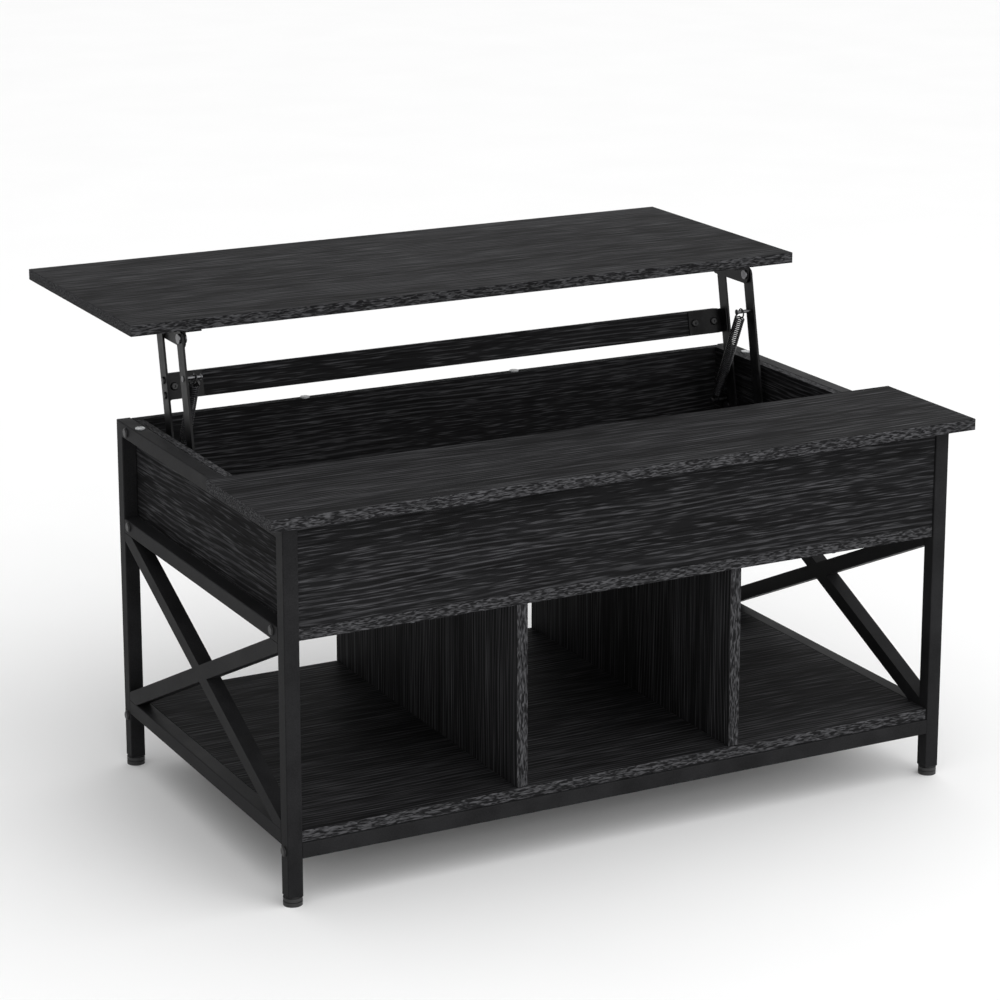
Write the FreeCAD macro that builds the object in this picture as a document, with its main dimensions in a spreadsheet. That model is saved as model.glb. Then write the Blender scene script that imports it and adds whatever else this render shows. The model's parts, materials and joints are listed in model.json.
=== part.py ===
import FreeCAD, Part
import math
import os
import re

import Sketcher
from FreeCAD import Placement, Rotation, Vector

# A lift top coffee table, shown with its lid raised. Millimetres, +Z up, +X along the length.
# The fixed strip of the top is on the -Y side and the lid rises towards +Y. The origin lies on the
# floor, midway along X and midway in Y between the strip's front edge and the raised lid's back edge.

# ---------------------------------------------------------------- driving dimensions

DIMENSIONS = [
    # steel frame, welded from square tube
    ("tube", 20.0, "outside width of every square tube"),
    ("tube_wall", 1.2, "wall of the tube"),
    ("tube_corner", 1.5, "outside corner radius of the tube"),
    ("frame_width", 952.0, "outside to outside of the side frames, along X"),
    ("frame_depth", 548.0, "front to back of the side frames, along Y"),
    ("leg_length", 470.0, "leg, from above its foot to the frame's top"),
    ("box_depth", 152.0, "frame's top down to the middle rail's underside"),
    ("rail_rise", 48.0, "leg's lower end up to the long rails"),
    ("rail_step", 15.0, "side low rails above the long rails"),
    # boards
    ("board", 15.0, "thickness of the top, shelf, dividers and box floor"),
    ("panel", 12.0, "thickness of the box's four walls"),
    ("board_round", 0.7, "rounding of every board edge"),
    ("board_recess", 3.0, "boards stand back from the legs' faces by this"),
    ("divider_recess", 2.0, "dividers stand back from the shelf's front edge by this"),
    ("bay_width", 294.0, "width of the middle bay between the dividers"),
    ("overhang_side", 24.0, "top past the frame, left and right"),
    ("overhang_end", 24.0, "top past the frame, front and back"),
    ("strip_depth", 200.0, "fixed strip of the top, along Y"),
    ("lid_gap", 2.0, "gap between the strip and the closed lid"),
    # soft stops that the closed lid rests on
    ("bumper_size", 13.0, "diameter of a bumper"),
    ("bumper_rise", 1.5, "height of a bumper"),
    ("bumper_setback", 62.0, "bumper on a side rail, from the frame's back face"),
    ("bumper_left", 207.0, "left bumper on the back panel, from the middle"),
    ("bumper_right", 115.0, "right bumper on the back panel, from the middle"),
    ("lid_clearance", 0.3, "closed lid above the bumpers"),
    # lift mechanism
    ("arm_standoff", 14.0, "middle of an arm from the side panel's inner face"),
    ("arm_width", 20.0, "width of an arm"),
    ("arm_thick", 3.0, "thickness of an arm"),
    ("arm_lean", 11.2, "raised arm past upright, towards +Y, in degrees"),
    ("closed_rise", 19.0, "closed arm above level, in degrees"),
    ("folded_rise", 69.0377, "rise of the closed arms that box_depth has room for"),
    ("pivot_setback", 75.0, "rear base pivot from the back panel's inner face"),
    ("pivot_spacing", 72.0, "front pivots to rear pivots, along Y"),
    ("pivot_inset", 7.5, "front upper pivot behind the lid's front edge"),
    ("pivot_drop", 11.0, "upper pivots below the lid's underside"),
    ("pin_size", 8.0, "diameter of a pivot pin"),
    ("pin_clearance", 0.06, "running clearance of a pin, on the radius"),
    ("pin_head", 13.0, "diameter of a pin's head"),
    ("head_rise", 2.0, "height of a pin's head"),
    ("plate", 2.0, "steel plate of the brackets"),
    ("side_gap", 0.3, "gap beside a moving arm"),
    ("web_gap", 1.0, "base bracket's web from the arm"),
    ("bracket_gap", 1.5, "upper bracket's plate from the arm"),
    ("web_above", 20.0, "base bracket above its pivots"),
    ("web_below", 24.0, "base bracket's step below its pivots"),
    ("flange_drop", 22.0, "base bracket's flange below its step"),
    ("web_margin", 16.0, "base bracket past its front pivot"),
    ("web_tail", 41.0, "base bracket past its rear pivot"),
    ("top_plate_drop", 13.0, "upper bracket's plate below its pivots"),
    ("top_flange", 24.0, "width of the upper bracket's flange"),
    ("top_plate_tail", 15.0, "upper bracket past its rear pivot"),
    ("top_plate_round", 9.0, "rounding of the upper bracket's lower front corner"),
    ("stop_reach", 8.0, "the rivet that stops the raised arm, along the arm from its pivot"),
    ("stop_clearance", 0.2, "raised arm to its stop"),
    ("crossbar_drop", 79.5, "middle of the crossbar below the upper pivots, along the arm"),
    ("crossbar_height", 35.0, "crossbar, along the arm"),
    ("crossbar_gap", 2.0, "crossbar's end from its bracket's side leg"),
    ("bracket_reach", 55.0, "crossbar bracket, along X"),
    ("bracket_inset", 0.5, "crossbar bracket inside the crossbar's edges"),
    ("bracket_lip", 8.0, "crossbar bracket's side leg past the middle of the arm"),
    ("arm_bolt_spacing", 20.0, "the two bolts that hold a crossbar bracket to an arm"),
    ("spring_drop", 52.0, "spring's upper pin below the upper pivot, along the arm"),
    ("spring_size", 15.0, "outside diameter of the spring"),
    ("spring_wire", 2.2, "wire of the spring"),
    ("spring_standoff", 15.5, "middle of the spring from the middle of the arm"),
    ("spring_pin", 5.0, "diameter of the pins that hold the spring"),
    ("spring_turns", 44.0, "turns of the spring"),
    ("hook_slack", 0.03, "gap between a spring's hook and its pin"),
    ("anchor_back", 24.0, "spring's lower pin behind the rear pivot"),
    ("anchor_up", 14.0, "spring's lower pin above the rear pivot"),
    # fasteners
    ("bolt_size", 6.0, "diameter of a frame bolt"),
    ("bolt_head", 13.0, "diameter of a frame bolt's domed head"),
    ("bolt_rise", 3.0, "height of that head"),
    ("bolt_bite", 9.0, "frame bolt inside a panel, a board's end or a rail's insert"),
    ("bolt_setback", 36.0, "side frame bolts from the frame's front and back"),
    ("small_bolt", 5.0, "diameter of a bolt in the mechanism"),
    ("small_head", 10.0, "diameter of that bolt's head"),
    ("small_rise", 2.5, "height of that head"),
    ("small_bite", 11.0, "such a bolt inside the crossbar"),
    ("socket_width", 3.0, "hexagon socket in a bolt head, across the flats"),
    ("screw_size", 4.0, "diameter of a wood screw"),
    ("screw_head", 8.0, "diameter of a wood screw's head"),
    ("screw_rise", 1.8, "height of a wood screw's head"),
    ("screw_bite", 10.0, "wood screw inside a board"),
    ("hole_clearance", 0.1, "hole past a bolt or screw, on the radius"),
    # levelling feet
    ("foot_height", 12.0, "foot below the leg's end"),
    ("foot_size", 24.0, "diameter of a foot"),
    ("foot_gap", 0.1, "foot's top below the leg's end"),
    ("stem_size", 6.0, "diameter of a foot's threaded stem"),
    ("stem_length", 24.0, "stem above the leg's end"),
    ("insert_length", 20.0, "plastic insert in a leg's end"),
]

# ---------------------------------------------------------------- places worked out from them

DERIVED = {
    "half_width": "frame_width / 2",
    "inner_half": "frame_width / 2 - tube",
    "leg_axis": "frame_width / 2 - tube / 2",
    "travel": "arm_length * (sin(arm_lean) + cos(closed_rise))",
    "middle": "-travel / 2",
    "front": "middle - frame_depth / 2",
    "back": "middle + frame_depth / 2",
    "frame_top": "foot_height + leg_length",
    "box_drop": "box_depth + arm_length * sin(closed_rise) - folded_rise",
    "floor_under": "frame_top - box_drop + tube - board",
    "floor_top": "floor_under + board",
    "mid_rail_axis": "frame_top - box_drop + tube / 2",
    "long_rail_axis": "foot_height + rail_rise + tube / 2",
    "shelf_under": "foot_height + rail_rise + tube",
    "shelf_top": "shelf_under + board",
    "low_rail_axis": "long_rail_axis + rail_step",
    "low_rail_top": "low_rail_axis + tube / 2",
    "board_front": "front + board_recess",
    "board_depth": "frame_depth - 2 * board_recess",
    "wall_front": "board_front + panel",
    "wall_back": "back - board_recess - panel",
    "panel_inner": "inner_half - panel",
    "top_length": "frame_width + 2 * overhang_side",
    "strip_front": "front - overhang_end",
    "lid_depth": "frame_depth + 2 * overhang_end - strip_depth - lid_gap",
    "lid_front": "strip_front + strip_depth + lid_gap + travel",
    "closed_under": "frame_top + bumper_rise + lid_clearance",
    "arm_length": "(frame_depth - board_recess - panel - pivot_setback - pivot_spacing - strip_depth"
                  " - lid_gap - pivot_inset + overhang_end) / cos(closed_rise)",
    "rear_pivot": "wall_back - pivot_setback",
    "front_pivot": "rear_pivot - pivot_spacing",
    "pivot_level": "closed_under - pivot_drop - arm_length * sin(closed_rise)",
    "upper_shift": "arm_length * sin(arm_lean)",
    "upper_level": "pivot_level + arm_length * cos(arm_lean)",
    "lid_under": "upper_level + pivot_drop",
    "arm_plane": "panel_inner - arm_standoff",
    "arm_inner": "arm_plane - arm_thick / 2",
    "arm_outer": "arm_plane + arm_thick / 2",
    "web_inner": "arm_outer + web_gap",
    "top_plate_outer": "arm_inner - bracket_gap",
    "pin_hole": "pin_size + 2 * pin_clearance",
    "crossbar_reach": "arm_length - crossbar_drop",
    "crossbar_front": "arm_width / 2",
    "crossbar_half": "arm_inner - plate - crossbar_gap",
    "spring_reach": "arm_length - spring_drop",
    "spring_plane": "arm_plane - spring_standoff",
    "spring_pin_y": "front_pivot + spring_reach * sin(arm_lean)",
    "spring_pin_z": "pivot_level + spring_reach * cos(arm_lean)",
    "anchor_y": "rear_pivot + anchor_back",
    "anchor_z": "pivot_level + anchor_up",
    "spring_run": "sqrt(pow(anchor_y - spring_pin_y; 2) + pow(spring_pin_z - anchor_z; 2))",
    "spring_lean": "atan((anchor_y - spring_pin_y) / (spring_pin_z - anchor_z)) / (1 deg)",
    "bolt_hole": "bolt_size + 2 * hole_clearance",
    "screw_hole": "screw_size + 2 * hole_clearance",
    "small_hole": "small_bolt + 2 * hole_clearance",
    "board_bite": "tube + screw_bite - board",
    "coil_middle": "(spring_size - spring_wire) / 2",
    "hook_inset": "spring_size / 2 - spring_wire - spring_pin / 2 - hook_slack",
    "divider_axis": "bay_width / 2 + board / 2",
    "window_depth": "frame_depth - 2 * tube",
    "window_height": "frame_top - box_drop - low_rail_top",
    "brace_angle": "atan(window_height / window_depth) / (1 deg)",
    "brace_run": "sqrt(pow(window_height; 2) + pow(window_depth; 2))",
}

SIDES = (("left", -1), ("right", 1))
ENDS = (("front", -1), ("back", 1))

doc = FreeCAD.newDocument("lift_top_table")
sheet = doc.addObject("Spreadsheet::Sheet", "dims")
for row, (alias, size, note) in enumerate(DIMENSIONS, start=1):
    sheet.set(f"A{row}", alias)
    sheet.set(f"B{row}", str(size))
    sheet.set(f"C{row}", note)
    sheet.setAlias(f"B{row}", alias)
doc.recompute()

NAMES = {alias for alias, size, note in DIMENSIONS}
FUNCTIONS = {"sin", "cos", "atan", "sqrt", "pow", "deg"}
parts = []


def formula(words):
    """The expression for a size written with the names above: each name becomes its sheet cell."""

    def swap(match):
        word = match.group(0)
        if word in NAMES:
            return "dims." + word
        if word in DERIVED:
            return "(" + formula(DERIVED[word]) + ")"
        if word in FUNCTIONS:
            return word
        raise ValueError("no size is called " + word)

    return re.sub(r"[a-z][a-z_]*", swap, str(words))


def bind(item, attribute, words):
    item.setExpression(attribute, formula(words))


def keep(item, label):
    """Marks a finished piece: its label names its file."""
    item.Label = label
    parts.append(item)
    return item


def place(item, x=0, y=0, z=0, axis=None, angle=None):
    """Puts an item at a point, turned about an axis by a fixed angle or by a named one."""
    if axis is not None:
        turn = angle if isinstance(angle, (int, float)) else 10.0
        item.Placement = Placement(Vector(0, 0, 0), Rotation(Vector(*axis), turn))
        if not isinstance(angle, (int, float)):
            bind(item, "Placement.Rotation.Angle", angle)
    bind(item, "Placement.Base.x", x)
    bind(item, "Placement.Base.y", y)
    bind(item, "Placement.Base.z", z)


def new_body(label):
    return doc.addObject("PartDesign::Body", label)


def new_sketch(body, role, offset=None):
    """An empty sketch on one of the body's own origin planes, moved along the plane's normal."""
    sketch = body.newObject("Sketcher::SketchObject", "sketch")
    plane = [f for f in body.Origin.OriginFeatures if f.Role == role][0]
    sketch.AttachmentSupport = [(plane, "")]
    sketch.MapMode = "FlatFace"
    if offset is not None:
        bind(sketch, "AttachmentOffset.Base.z", offset)
    return sketch


def pin_down(sketch, kind, name, words, *where):
    """Adds one dimension to a sketch and binds it to its formula."""
    index = sketch.addConstraint(Sketcher.Constraint(kind, *where))
    sketch.renameConstraint(index, name)
    bind(sketch, "Constraints." + name, words)


def outline(sketch, corners):
    """Draws a closed outline of straight lines whose corners are all dimensioned."""
    count = len(corners)
    first = sketch.GeometryCount
    ring = [Vector(10 * math.cos(2 * math.pi * i / count), 10 * math.sin(2 * math.pi * i / count), 0)
            for i in range(count)]
    for i in range(count):
        sketch.addGeometry(Part.LineSegment(ring[i], ring[(i + 1) % count]), False)
    for i in range(count):
        after = first + (i + 1) % count
        sketch.addConstraint(Sketcher.Constraint("Coincident", first + i, 2, after, 1))
    for i, (across, up) in enumerate(corners):
        line = first + i
        pin_down(sketch, "DistanceX", f"across{line}", across, line, 1, ring[i].x)
        pin_down(sketch, "DistanceY", f"up{line}", up, line, 1, ring[i].y)


def rings(sketch, centres, diameter):
    """Draws circles of one diameter."""
    for centre in centres:
        index = sketch.addGeometry(Part.Circle(Vector(5, 5, 0), Vector(0, 0, 1), 3), False)
        pin_down(sketch, "DistanceX", f"across{index}", centre[0], index, 3, 5)
        pin_down(sketch, "DistanceY", f"up{index}", centre[1], index, 3, 5)
        pin_down(sketch, "Diameter", f"bore{index}", diameter, index, 6)


def pad(body, sketch, length, both_ways=False, backwards=False):
    feature = body.newObject("PartDesign::Pad", "pad")
    feature.Profile = sketch
    bind(feature, "Length", length)
    feature.Midplane = both_ways
    feature.Reversed = backwards
    body.Tip = feature
    return feature


def cut(body, sketch, length=None, backwards=False):
    """Cuts a sketch away: to a depth, or right through both ways if no depth is given."""
    feature = body.newObject("PartDesign::Pocket", "pocket")
    feature.Profile = sketch
    if length is None:
        feature.Type = "ThroughAll"
        feature.Midplane = True
    else:
        bind(feature, "Length", length)
        feature.Reversed = backwards
    body.Tip = feature
    return feature


def round_edges(body, feature, chosen, radius):
    """Rounds the edges of a feature for which chosen(edge) is true."""
    doc.recompute()
    names = [f"Edge{i}" for i, edge in enumerate(feature.Shape.Edges, start=1) if chosen(edge)]
    fillet = body.newObject("PartDesign::Fillet", "fillet")
    fillet.Base = (feature, names)
    bind(fillet, "Radius", radius)
    body.Tip = fillet
    return fillet


def runs_along(edge, direction):
    first, last = edge.Vertexes[0].Point, edge.Vertexes[-1].Point
    return (last - first).cross(Vector(*direction)).Length < 1e-6


def board(label, size, corner):
    """A board with lightly rounded edges: its size along X, Y and Z and its lowest corner."""
    body = new_body(label)
    sketch = new_sketch(body, "XY_Plane")
    outline(sketch, [(0, 0), (size[0], 0), (size[0], size[1]), (0, size[1])])
    slab = pad(body, sketch, size[2])
    round_edges(body, slab, lambda edge: True, "board_round")
    place(body, *corner)
    return keep(body, label)


def square(sketch, width):
    half = f"({width}) / 2"
    outline(sketch, [(f"-{half}", f"-{half}"), (half, f"-{half}"), (half, half), (f"-{half}", half)])


def tube(label, length, start, along, mitres=()):
    """A square tube along X, Y or Z from a start point on its centre line. Each mitre is an end,
    "near" or "far", and the sign of the local Y side that the 45 degree cut shortens."""
    body = new_body(label)
    sketch = new_sketch(body, "XY_Plane")
    square(sketch, "tube")
    square(sketch, "tube - 2 * tube_wall")
    wall = pad(body, sketch, length)
    half = sheet.get("tube") / 2

    def outer_corner(edge):
        point = edge.Vertexes[0].Point
        at_corner = abs(abs(point.x) - half) < 1e-6 and abs(abs(point.y) - half) < 1e-6
        return runs_along(edge, (0, 0, 1)) and at_corner

    round_edges(body, wall, outer_corner, "tube_corner")
    for end, side in mitres:
        sketch = new_sketch(body, "YZ_Plane")
        edge = "0" if end == "near" else length
        inward = "tube" if end == "near" else f"({length}) - tube"
        outline(sketch, [(f"-{side} * tube / 2", edge), (f"{side} * tube / 2", edge),
                         (f"{side} * tube / 2", inward)])
        cut(body, sketch)
    if along == "Z":
        place(body, *start)
    else:
        axis, angle = ((0, 1, 0), 90) if along == "X" else ((1, 0, 0), -90)
        place(body, *start, axis=axis, angle=angle)
    return keep(body, label)


def drill(body, plane, centres, diameter, offset=None, depth=None, backwards=False):
    """Drills round holes: right through both ways, or from an offset plane to a depth."""
    sketch = new_sketch(body, plane, offset)
    rings(sketch, centres, diameter)
    return cut(body, sketch, depth, backwards)


def turned(name, profile):
    """A turned piece about its own X axis: the profile gives stations and their radii."""
    body = new_body(name)
    sketch = new_sketch(body, "XY_Plane")
    outline(sketch, [(profile[0][0], 0)] + list(profile) + [(profile[-1][0], 0)])
    spin = body.newObject("PartDesign::Revolution", "spin")
    spin.Profile = sketch
    spin.ReferenceAxis = (sketch, ["H_Axis"])
    spin.Angle = 360
    body.Tip = spin
    return body


def group(label, pieces):
    """Identical pieces that share one node."""
    bundle = doc.addObject("Part::Compound", label)
    bundle.Links = pieces
    return keep(bundle, label)


def toward(piece, direction, x, y, z):
    """Places a turned piece so that its own +X points in the given direction."""
    turns = {"+x": ((0, 0, 1), 0), "-x": ((0, 0, 1), 180), "+z": ((0, 1, 0), -90), "-z": ((0, 1, 0), 90)}
    axis, angle = turns[direction]
    place(piece, x, y, z, axis=axis, angle=angle)
    return piece


def outward(sign):
    return "+x" if sign > 0 else "-x"


# ---------------------------------------------------------------- steel frame

for side, sign in SIDES:
    axis_x = f"{sign} * leg_axis"
    for end, way in ENDS:
        leg = tube(f"leg_{end}_{side}", "leg_length",
                   (axis_x, f"middle + {way} * (frame_depth - tube) / 2", "foot_height"),
                   "Z", [("far", -way)])
        drill(leg, "YZ_Plane", [(0, "rail_rise + tube / 2")], "bolt_hole")

    top_rail = tube(f"side_top_rail_{side}", "frame_depth", (axis_x, "front", "frame_top - tube / 2"),
                    "Y", [("near", 1), ("far", 1)])
    drill(top_rail, "YZ_Plane", [(0, "bolt_setback"), (0, "frame_depth - bolt_setback")], "bolt_hole")
    drill(top_rail, "XZ_Plane", [(0, "strip_depth / 4"), (0, "strip_depth * 3 / 4")], "screw_hole")

    start = (axis_x, "front + tube", "mid_rail_axis")
    mid_rail = tube(f"side_mid_rail_{side}", "window_depth", start, "Y")
    floor_line = "mid_rail_axis - floor_under - board / 2"
    drill(mid_rail, "YZ_Plane", [(floor_line, "bolt_setback - tube"),
                                 (floor_line, "window_depth + tube - bolt_setback")], "bolt_hole")
    tube(f"side_low_rail_{side}", "window_depth", (axis_x, "front + tube", "low_rail_axis"), "Y")

for end, way in ENDS:
    start = ("-inner_half", f"middle + {way} * (frame_depth - tube) / 2", "long_rail_axis")
    rail = tube(f"long_rail_{end}", "2 * inner_half", start, "X")
    drill(rail, "YZ_Plane", [(0, "inner_half / 3"), (0, "inner_half * 5 / 3")], "screw_hole")

# Each brace is a tube between opposite corners of the window under the middle rail, trimmed to it.
# The one that rises to the front runs through; the other is in two lengths welded to it.


def brace_bar(label, hollow, length):
    """A long square bar along a diagonal, from beyond a lower corner of the window."""
    body = new_body(label)
    sketch = new_sketch(body, "XY_Plane")
    square(sketch, "tube")
    if hollow:
        square(sketch, "tube - 2 * tube_wall")
    pad(body, sketch, length)
    return body


def window_box(axis_x):
    box = doc.addObject("Part::Box", "window")
    bind(box, "Length", "tube")
    bind(box, "Width", "window_depth")
    bind(box, "Height", "window_height")
    place(box, f"{axis_x} - tube / 2", "front + tube", "low_rail_top")
    return box


def boolean(kind, label, base, tool):
    result = doc.addObject("Part::" + kind, label)
    result.Base = base
    result.Tool = tool
    return result


for side, sign in SIDES:
    axis_x = f"{sign} * leg_axis"
    low_z = "low_rail_top - 2 * tube * sin(brace_angle)"
    rise = "90 - brace_angle"
    far_y = "back - tube + 2 * tube * cos(brace_angle)"
    near_y = "front + tube - 2 * tube * cos(brace_angle)"
    full = "brace_run + 4 * tube"

    rising = brace_bar("rising_bar", True, full)
    place(rising, axis_x, far_y, low_z, axis=(1, 0, 0), angle=rise)
    keep(boolean("Common", "rising", window_box(axis_x), rising), f"brace_rising_{side}")

    solid = brace_bar("crossing_bar", False, full)
    place(solid, axis_x, far_y, low_z, axis=(1, 0, 0), angle=rise)

    lower = brace_bar("lower_bar", True, "brace_run / 2 + 2 * tube")
    place(lower, axis_x, near_y, low_z, axis=(1, 0, 0), angle="brace_angle - 90")
    trimmed = boolean("Common", "lower", window_box(axis_x), lower)
    keep(boolean("Cut", "lower_end", trimmed, solid), f"brace_falling_lower_{side}")

    upper = brace_bar("upper_bar", True, "brace_run / 2 + 2 * tube")
    place(upper, axis_x, "middle", "low_rail_top + window_height / 2", axis=(1, 0, 0),
          angle="brace_angle - 90")
    trimmed = boolean("Common", "upper", window_box(axis_x), upper)
    keep(boolean("Cut", "upper_end", trimmed, solid), f"brace_falling_upper_{side}")

# ---------------------------------------------------------------- boards

divider_spots = ["board_depth / 5", "board_depth * 4 / 5"]
shelf = board("shelf_board", ("2 * inner_half", "board_depth", "board"),
              ("-inner_half", "board_front", "shelf_under"))
rail_line = "tube / 2 - board_recess"
rail_spots = [(x, y) for x in ("inner_half / 3", "inner_half * 5 / 3")
              for y in (rail_line, f"board_depth - ({rail_line})")]
drill(shelf, "XY_Plane", rail_spots, "screw_hole", "0", "screw_bite", True)
divider_line = [(f"inner_half + {sign} * divider_axis", y) for side, sign in SIDES for y in divider_spots]
drill(shelf, "XY_Plane", divider_line, "screw_hole")

for side, sign in SIDES:
    divider = board(f"divider_{side}", ("board", "board_depth - divider_recess", "floor_under - shelf_top"),
                    (f"{sign} * divider_axis - board / 2", "board_front + divider_recess", "shelf_top"))
    spots = [("board / 2", f"{y} - divider_recess") for y in divider_spots]
    drill(divider, "XY_Plane", spots, "screw_hole", "0", "board_bite", True)

box_floor = board("box_floor", ("2 * inner_half", "board_depth", "board"),
                  ("-inner_half", "board_front", "floor_under"))
bolt_spots = [("bolt_setback - board_recess", "board / 2"),
              ("frame_depth - board_recess - bolt_setback", "board / 2")]
drill(box_floor, "YZ_Plane", bolt_spots, "bolt_hole", "0", "bolt_bite", True)
drill(box_floor, "YZ_Plane", bolt_spots, "bolt_hole", "2 * inner_half", "bolt_bite")
long_spots = ["inner_half / 3", "inner_half", "inner_half * 5 / 3"]
wall_line = [(x, y) for x in long_spots for y in ("panel / 2", "board_depth - panel / 2")]
drill(box_floor, "XY_Plane", wall_line, "screw_hole")

wall_height = "frame_top - floor_top"
for label, y in (("box_front_panel", "board_front"), ("box_back_panel", "wall_back")):
    wall = board(label, ("2 * inner_half", "panel", wall_height), ("-inner_half", y, "floor_top"))
    drill(wall, "XY_Plane", [(x, "panel / 2") for x in long_spots], "screw_hole", "0", "board_bite", True)

flange_rows = [f"pivot_level - web_below - flange_drop * {share} - floor_top" for share in (0.36, 0.76)]
flange_line = ["front_pivot - web_margin / 2", "rear_pivot + web_tail - web_margin / 2"]
for side, sign in SIDES:
    x = "panel_inner" if sign > 0 else "-inner_half"
    wall = board(f"box_side_{side}", ("panel", "wall_back - wall_front", wall_height),
                 (x, "wall_front", "floor_top"))
    outer, inner = ("panel", "0") if sign > 0 else ("0", "panel")
    spots = [(f"{y} - wall_front", "frame_top - tube / 2 - floor_top")
             for y in ("front + bolt_setback", "back - bolt_setback")]
    drill(wall, "YZ_Plane", spots, "bolt_hole", outer, "bolt_bite", sign < 0)
    spots = [(f"{y} - wall_front", z) for y in flange_line for z in flange_rows]
    drill(wall, "YZ_Plane", spots, "screw_hole", inner, "screw_bite", sign > 0)

strip = board("fixed_strip", ("top_length", "strip_depth", "board"),
              ("-top_length / 2", "strip_front", "frame_top"))
spots = [(f"top_length / 2 + {sign} * leg_axis", f"overhang_end + {y}") for side, sign in SIDES
         for y in ("strip_depth / 4", "strip_depth * 3 / 4")]
drill(strip, "XY_Plane", spots, "screw_hole", "0", "screw_bite", True)

lid = board("lid_top", ("top_length", "lid_depth", "board"), ("-top_length / 2", "lid_front", "lid_under"))
lid_spots = [(f"{sign} * (top_plate_outer - top_flange * 0.6)", y) for side, sign in SIDES
             for y in ("pivot_inset * 1.5", "pivot_inset + pivot_spacing")]
drill(lid, "XY_Plane", [(f"top_length / 2 + {x}", y) for x, y in lid_spots], "screw_hole", "0", "screw_bite",
      True)

# ---------------------------------------------------------------- lift mechanism
# On each side two equal arms of flat bar stand on a bracket screwed to the box's side panel and
# carry a bracket under the lid, so the lid swings forward and down while it stays level.


def flat_bar(label, holes):
    """An arm of flat bar with round ends, its lower pivot at the origin, padded about its middle."""
    body = new_body(label)
    sketch = new_sketch(body, "YZ_Plane")
    outline(sketch, [("-arm_width / 2", 0), ("arm_width / 2", 0), ("arm_width / 2", "arm_length"),
                     ("-arm_width / 2", "arm_length")])
    pad(body, sketch, "arm_thick", both_ways=True)
    sketch = new_sketch(body, "YZ_Plane")
    rings(sketch, [(0, 0), (0, "arm_length")], "arm_width")
    pad(body, sketch, "arm_thick", both_ways=True)
    drill(body, "YZ_Plane", [(0, 0), (0, "arm_length")], "pin_hole")
    for spots, diameter in holes:
        drill(body, "YZ_Plane", spots, diameter)
    return body


def on_arm(piece, x, pivot):
    """Stands a piece on an arm: its own origin at the arm's lower pivot, its +Z along the arm."""
    place(piece, x, pivot, "pivot_level", axis=(1, 0, 0), angle="-arm_lean")
    return piece


def section(label, corners, length, backwards):
    """A folded plate: a profile across X and Z carried along Y."""
    body = new_body(label)
    sketch = new_sketch(body, "XZ_Plane")
    outline(sketch, corners)
    return body, pad(body, sketch, length, backwards=backwards)


def spring_eye(body, middle):
    """A ring of spring wire round an axis along X, its middle at a height on the body's own Z."""
    sketch = new_sketch(body, "XY_Plane", middle)
    rings(sketch, [(0, "coil_middle")], "spring_wire")
    eye = body.newObject("PartDesign::Revolution", "eye")
    eye.Profile = sketch
    eye.ReferenceAxis = (sketch, ["H_Axis"])
    eye.Angle = 360
    body.Tip = eye


bracket_bolts = [(0, "crossbar_reach - arm_bolt_spacing / 2"), (0, "crossbar_reach + arm_bolt_spacing / 2")]
web_length = "web_margin + pivot_spacing + web_tail"
stop_y = "web_margin + pivot_spacing + stop_reach * sin(arm_lean)" \
         " + (arm_width / 2 + pin_size / 2 + stop_clearance) * cos(arm_lean)"
stop_z = "stop_reach * cos(arm_lean) - (arm_width / 2 + pin_size / 2 + stop_clearance) * sin(arm_lean)"
face_bolts = ["bracket_reach * 0.255", "bracket_reach * 0.827"]

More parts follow.
